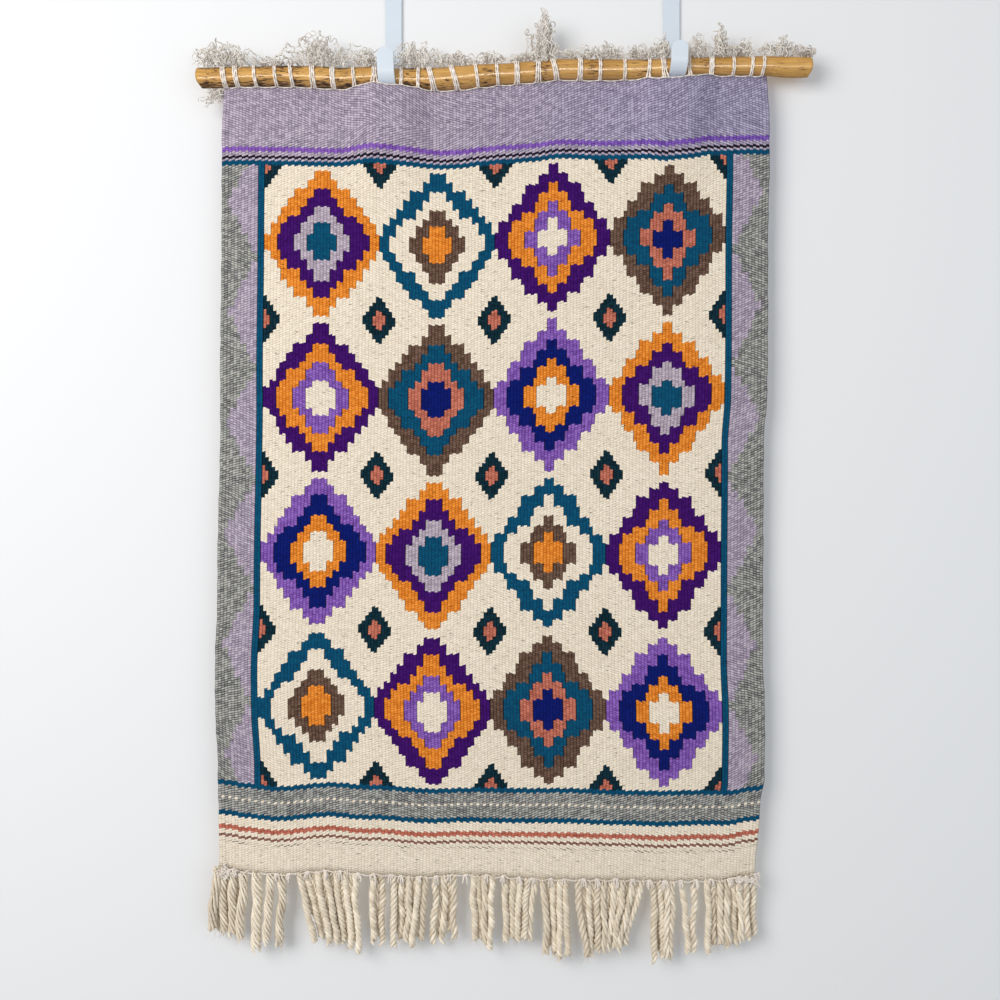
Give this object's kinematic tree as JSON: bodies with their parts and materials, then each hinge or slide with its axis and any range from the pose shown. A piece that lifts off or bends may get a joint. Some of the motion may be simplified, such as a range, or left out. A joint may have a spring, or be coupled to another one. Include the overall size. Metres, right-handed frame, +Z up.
{
  "type": "woven tapestry on a hanging rod with door hooks",
  "caption": "Handwoven wool wall tapestry with a twisted rope fringe, lashed by its cotton warp ends to a crooked wooden rod that rests in strap hooks made to hang over a door.",
  "frame": {"origin": "the middle of the rod's axis, half way along its length", "axes": "+X along the rod to the right as seen from the front, +Y from the woven face back to the door, +Z up"},
  "size_m": [0.674, 0.0813, 1.0856],
  "materials": {
    "wool_cloth": "matte weft-faced wool weave",
    "wool_fringe": "matte two-ply wool rope",
    "cotton_warp": "matte kinked cotton thread",
    "cotton_lashing": "matte cotton thread",
    "varnished_wood": "glossy varnish with dark flecks",
    "painted_steel": "satin white paint"
  },
  "bodies": {
    "root": {"cloth": "wool_cloth", "fringe": "wool_fringe", "warp_ends": "cotton_warp", "rod": "varnished_wood", "lashing_01": "cotton_lashing", "lashing_02": "cotton_lashing", "lashing_03": "cotton_lashing", "lashing_04": "cotton_lashing", "lashing_05": "cotton_lashing", "lashing_06": "cotton_lashing", "lashing_07": "cotton_lashing", "lashing_08": "cotton_lashing", "lashing_09": "cotton_lashing", "lashing_10": "cotton_lashing", "lashing_11": "cotton_lashing", "lashing_12": "cotton_lashing", "lashing_13": "cotton_lashing", "lashing_14": "cotton_lashing", "lashing_15": "cotton_lashing", "lashing_16": "cotton_lashing", "lashing_17": "cotton_lashing", "lashing_18": "cotton_lashing", "lashing_19": "cotton_lashing", "lashing_20": "cotton_lashing", "lashing_21": "cotton_lashing", "lashing_22": "cotton_lashing", "lashing_23": "cotton_lashing", "lashing_24": "cotton_lashing", "lashing_25": "cotton_lashing", "lashing_26": "cotton_lashing", "lashing_27": "cotton_lashing", "lashing_28": "cotton_lashing", "hook_left": "painted_steel", "hook_right": "painted_steel"}
  },
  "joints": []
}
